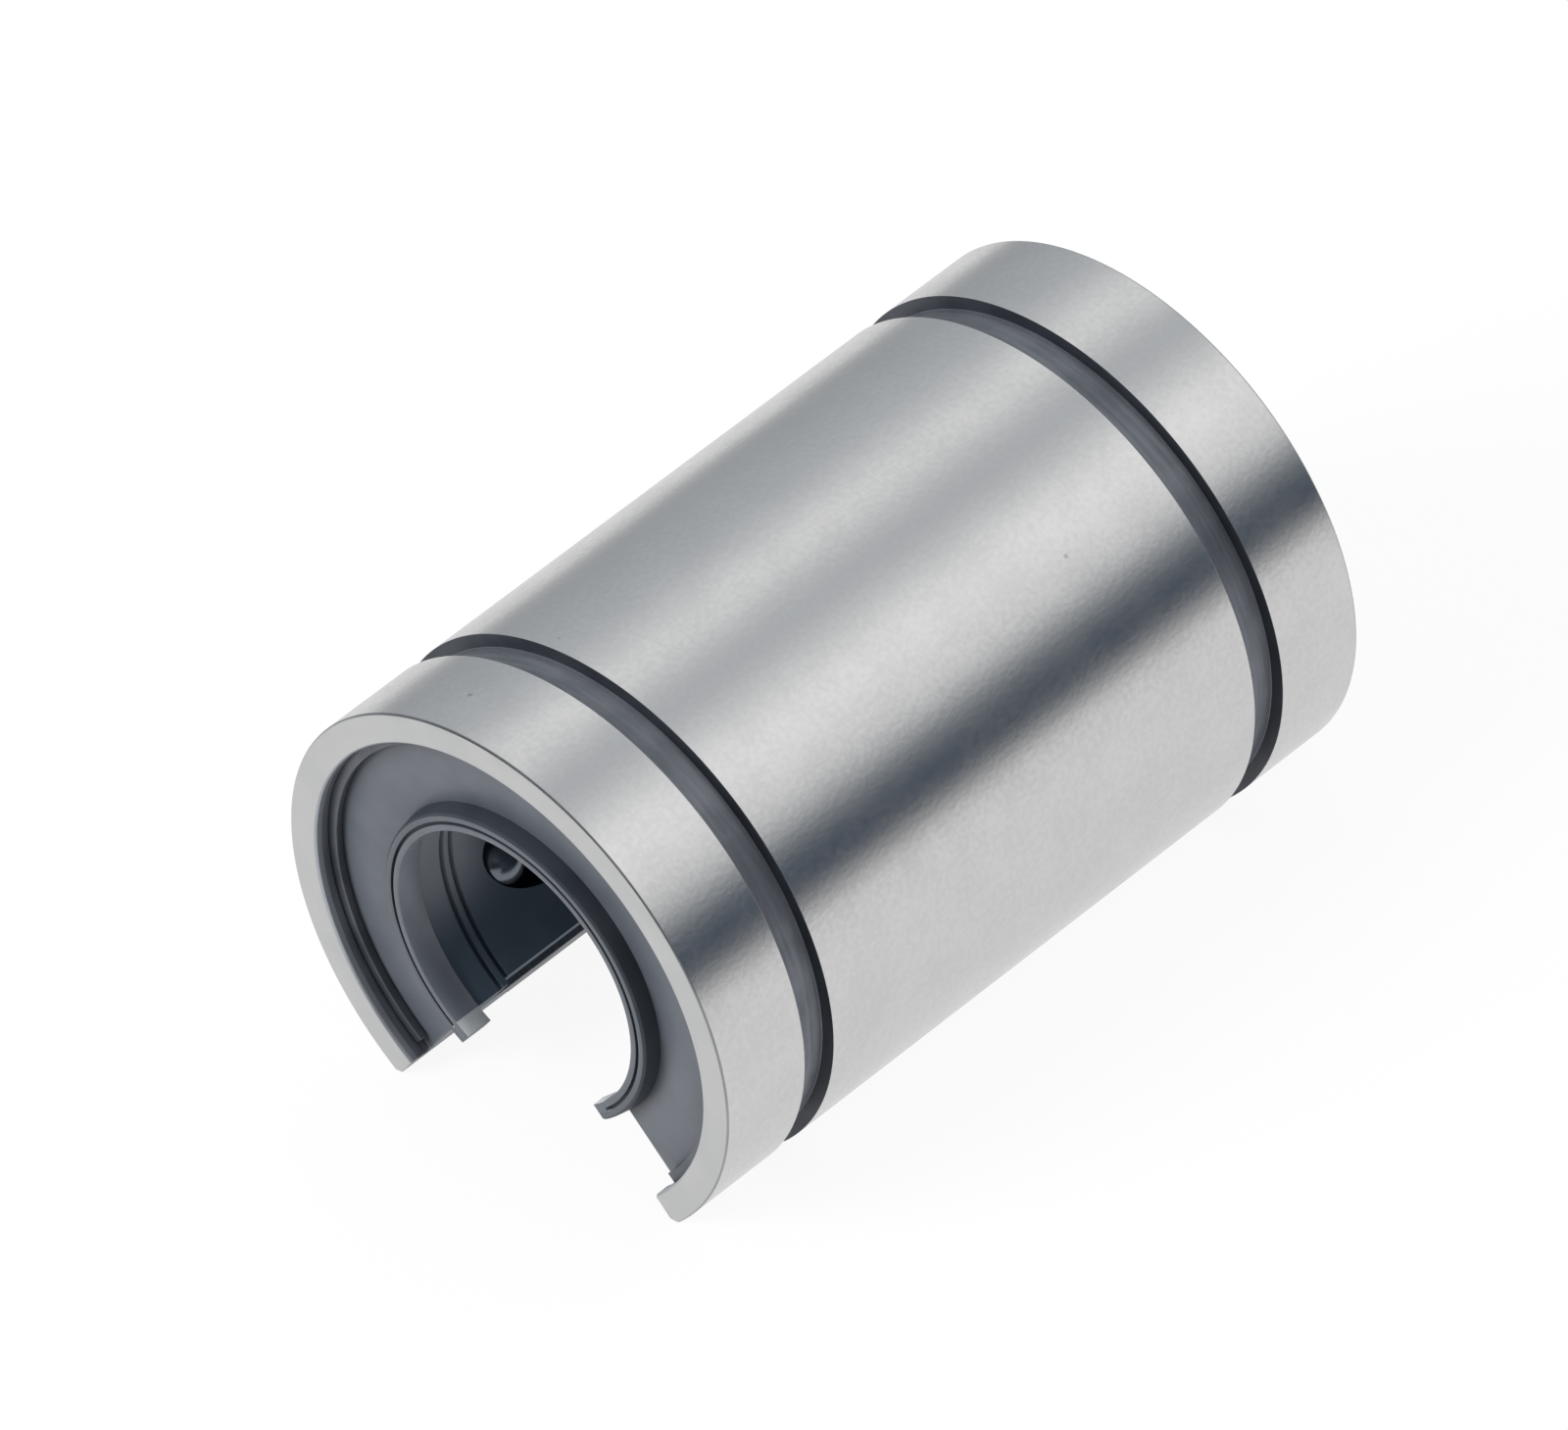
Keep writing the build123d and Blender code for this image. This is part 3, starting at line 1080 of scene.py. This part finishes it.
@dataclass
class Studio:
    """A pale floor, a curved light tent over it, the world, a soft lamp and the camera.

    Its sizes are in metres, apart from those that say otherwise.

    Attributes:
        floor_level: the floor's height.
        floor_radius: its radius.
        floor_colour: its colour's brightness.
        floor_glow: the share of its light that it gives off itself.
        world_level: the world's brightness, where the camera and mirrors don't see it.
        round_steps: how finely the floor and the tent are turned.
        tent_radius: the tent's radius.
        tent_length: its length.
        tent_reach: the angle from straight up, in degrees, at which the bands end.
        tent_level: its full brightness.
        tent_front: what is left of that at its front end.
        dim_until: the place along X, in millimetres, up to which it is that dim.
        full_from: the place along X, in millimetres, from which it is full.
        cool_shift: how much red its dimmest bands lose, which turns them bluer.
        key_place: the lamp's place.
        key_size: its width.
        key_energy: its power in watts.
        lens: the camera's focal length in millimetres.
        sensor: the width of its sensor in millimetres.
        camera_place: its place in millimetres.
        camera_right: its direction to the right.
        camera_up: its direction up.
        bands: the tent's bands.
        cards: the low cards.
    """

    floor_level: float
    floor_radius: float = 3.0
    floor_colour: float = 0.95
    floor_glow: float = 0.92
    world_level: float = 0.2
    round_steps: int = 96
    tent_radius: float = 0.5
    tent_length: float = 2.4
    tent_reach: float = 100.0
    tent_level: float = 2.0
    tent_front: float = 0.15
    dim_until: float = -350.0
    full_from: float = -50.0
    cool_shift: float = 0.016
    key_place: tuple[float, float, float] = (-0.42, 0.18, 0.26)
    key_size: float = 0.35
    key_energy: float = 3.0
    lens: float = 472.5
    sensor: float = 36.0
    camera_place: tuple[float, float, float] = (-330.2, -381.69, 409.7)
    camera_right: tuple[float, float, float] = (0.68775, -0.71654, -0.11649)
    camera_up: tuple[float, float, float] = (0.51958, 0.3738, 0.76832)
    bands: tuple[Band, ...] = (
        Band(-100, 0.01), Band(-78, 0.01), Band(-66, 0.17), Band(-57, 1.02), Band(-46, 1.02),
        Band(-31, 1.36), Band(-19, 1.03), Band(-6, 0.62), Band(6, 0.60), Band(17, 1.04),
        Band(27, 1.20), Band(37, 0.80), Band(50, 0.66), Band(78, 0.53), Band(100, 0.42))
    cards: tuple[Card, ...] = (Card("near_card", -0.11, 0.0125, 0.35),
                               Card("far_card", 0.11, 0.012, 0.45))

    def build(self) -> None:
        """Makes everything that isn't part of the bearing."""
        self.build_floor()
        self.build_tent()
        for card in self.cards:
            self.build_card(card)
        self.build_world()
        self.build_key()
        self.build_camera()

    def build_floor(self) -> None:
        """Makes the floor, which is nearly white from above and clear from below."""
        mesh = bmesh.new()
        bmesh.ops.create_circle(mesh, cap_ends=True, segments=self.round_steps,
                                radius=self.floor_radius)
        bmesh.ops.translate(mesh, verts=mesh.verts[:], vec=(0, 0, self.floor_level))
        graph = Graph("pale_floor")
        graph.set("Base Color", (self.floor_colour,) * 3)
        graph.set("Roughness", 1.0)
        graph.set("Specular IOR Level", 0.0)
        glow = graph.add("ShaderNodeEmission", Color=(1.0, 1.0, 1.0), Strength=1.0)
        above = graph.add("ShaderNodeMixShader", _0=self.floor_glow,
                          _1=graph.shader.outputs[0], _2=glow)
        from_below = graph.add("ShaderNodeNewGeometry", output="Backfacing")
        clear = graph.add("ShaderNodeBsdfTransparent")
        graph.surface(graph.add("ShaderNodeMixShader", _0=from_below, _1=above, _2=clear))
        self.stage_piece(mesh, "studio_floor", graph.material)

    def build_tent(self) -> None:
        """Makes the half-round tent whose bands light the bearing and show in its steel."""
        mesh = bmesh.new()
        ends = [mesh.verts.new((x, -self.tent_radius, self.floor_level))
                for x in (-self.tent_length / 2, self.tent_length / 2)]
        bmesh.ops.spin(mesh, geom=[*ends, mesh.edges.new(ends)], cent=(0, 0, self.floor_level),
                       axis=(1, 0, 0), angle=-math.pi, steps=self.round_steps)
        for face in mesh.faces:
            face.smooth = True
        graph = Graph("banded_tent")
        x, y, z = graph.axes()
        reach = math.radians(self.tent_reach)
        turned = graph.add("ShaderNodeMapRange", Value=graph.math("ARCTAN2", y, z),
                           From_Min=-reach, From_Max=reach)
        strength = graph.add("ShaderNodeMapRange", Value=x, From_Min=self.dim_until,
                             From_Max=self.full_from, To_Min=self.tent_front * self.tent_level,
                             To_Max=self.tent_level)
        graph.glow(self.band_ramp(graph, turned), strength)
        self.stage_piece(mesh, "light_tent", graph.material, unseen=True)

    def band_ramp(self, graph: Graph, place: Socket) -> Socket:
        """Makes the ramp of the tent's bands.

        Args:
            graph: the tent's graph.
            place: the place round the tent, from 0 to 1.

        Returns:
            The ramp's colour.
        """
        node = graph.add("ShaderNodeValToRGB", _0=place).node
        ramp = node.color_ramp
        ramp.interpolation = "B_SPLINE"
        while len(ramp.elements) < len(self.bands):
            ramp.elements.new(1.0)
        for element, band in zip(ramp.elements, self.bands):
            element.position = (band.angle + self.tent_reach) / (2 * self.tent_reach)
        for element, band in zip(ramp.elements, self.bands):
            element.color = band.colour(self.tent_level, self.cool_shift)
        return node.outputs[0]

    def build_card(self, card: Card) -> None:
        """Makes a low card, which shows in the steel just above the floor.

        Args:
            card: the card's place, height and brightness.
        """
        mesh = bmesh.new()
        bmesh.ops.create_grid(mesh, x_segments=1, y_segments=1, size=0.5)
        turn = Matrix.Rotation(math.pi / 2, 4, "X") @ Matrix.Diagonal((1.0, card.height, 1.0, 1.0))
        lift = Vector((0, card.across, self.floor_level + card.height / 2))
        bmesh.ops.transform(mesh, verts=mesh.verts[:], matrix=Matrix.Translation(lift) @ turn)
        graph = Graph(card.name)
        graph.glow((card.level,) * 3, 1.0)
        self.stage_piece(mesh, card.name, graph.material, unseen=True)

    def build_world(self) -> None:
        """Makes the pale world, white where the camera or a mirror sees it."""
        world = bpy.data.worlds.new("studio_air")
        bpy.context.scene.world = world
        world.use_nodes = True
        tree = world.node_tree
        path = tree.nodes.new("ShaderNodeLightPath")
        seen = path.outputs["Is Camera Ray"]
        for ray in ("Is Glossy Ray", "Is Transmission Ray"):
            either = tree.nodes.new("ShaderNodeMath")
            either.operation = "MAXIMUM"
            tree.links.new(seen, either.inputs[0])
            tree.links.new(path.outputs[ray], either.inputs[1])
            seen = either.outputs[0]
        level = tree.nodes.new("ShaderNodeMapRange")
        tree.links.new(seen, level.inputs["Value"])
        level.inputs["To Min"].default_value = self.world_level
        level.inputs["To Max"].default_value = 1.0
        background = tree.nodes["Background"]
        background.inputs["Color"].default_value = (1.0, 1.0, 1.0, 1.0)
        tree.links.new(level.outputs[0], background.inputs["Strength"])

    def build_key(self) -> None:
        """Makes the soft key lamp, high on the camera's side."""
        data = bpy.data.lights.new("soft_key", "AREA")
        data.shape = "DISK"
        data.size = self.key_size
        data.energy = self.key_energy
        lamp = bpy.data.objects.new("soft_key", data)
        bpy.context.scene.collection.objects.link(lamp)
        place = Vector(self.key_place)
        lamp.location = place
        lamp.rotation_euler = place.to_track_quat("Z", "Y").to_euler()
        lamp.visible_glossy = False
        lamp.visible_camera = False

    def build_camera(self) -> None:
        """Makes the camera at the photograph's viewing angle."""
        right = Vector(self.camera_right).normalized()
        up = Vector(self.camera_up)
        up = (up - right * up.dot(right)).normalized()
        turn = Matrix((right, up, right.cross(up))).transposed().to_4x4()
        data = bpy.data.cameras.new("camera")
        data.sensor_fit = "HORIZONTAL"
        data.sensor_width = self.sensor
        data.lens = self.lens
        data.clip_start = 0.01
        data.clip_end = 20.0
        camera = bpy.data.objects.new("camera", data)
        bpy.context.scene.collection.objects.link(camera)
        camera.matrix_world = Matrix.Translation(Vector(self.camera_place) * MM) @ turn
        bpy.context.scene.camera = camera

    @staticmethod
    def stage_piece(mesh: bmesh.types.BMesh, name: str, material: bpy.types.Material,
                    unseen: bool = False) -> None:
        """Turns a bmesh into an object that isn't part of the bearing.

        Args:
            mesh: the bmesh, which is freed.
            name: the object's name.
            material: its material.
            unseen: whether the camera doesn't see it and it casts no shadow.
        """
        data = bpy.data.meshes.new(name)
        mesh.to_mesh(data)
        mesh.free()
        data.materials.append(material)
        piece = bpy.data.objects.new(name, data)
        bpy.context.scene.collection.objects.link(piece)
        if unseen:
            piece.visible_camera = False
            piece.visible_shadow = False
        piece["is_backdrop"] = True


def main() -> None:
    """Builds and dresses the bearing, then the studio round it."""
    logging.basicConfig(level=logging.INFO, format="%(message)s")
    cad_box = [list(corner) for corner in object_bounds()]
    sleeve = OuterSleeve()
    sleeve.dress(sleeve.build())
    seal_finishes = {zone: finish.material() for zone, finish in SEAL_FINISHES.items()}
    ring_finish = SPRING_WIRE.material()
    for end in ENDS:
        seal = EndSeal(end)
        seal.dress(seal.build(), seal_finishes)
        ring = RetainingRing(end)
        ring.dress(ring.build(), ring_finish)
    BallRetainer().dress()
    ball_finishes = [finish.material() for finish in (BALL, SHADED_TURN_BALL, SHADED_RETURN_BALL)]
    for name in CIRCUITS:
        BallCircuit(name).dress(*ball_finishes)
    Studio(floor_level=cad_box[0][2] - FLOOR_GAP * MM).build()
    bpy.context.scene.view_settings.view_transform = "Standard"


if __name__ == "__main__":
    main()
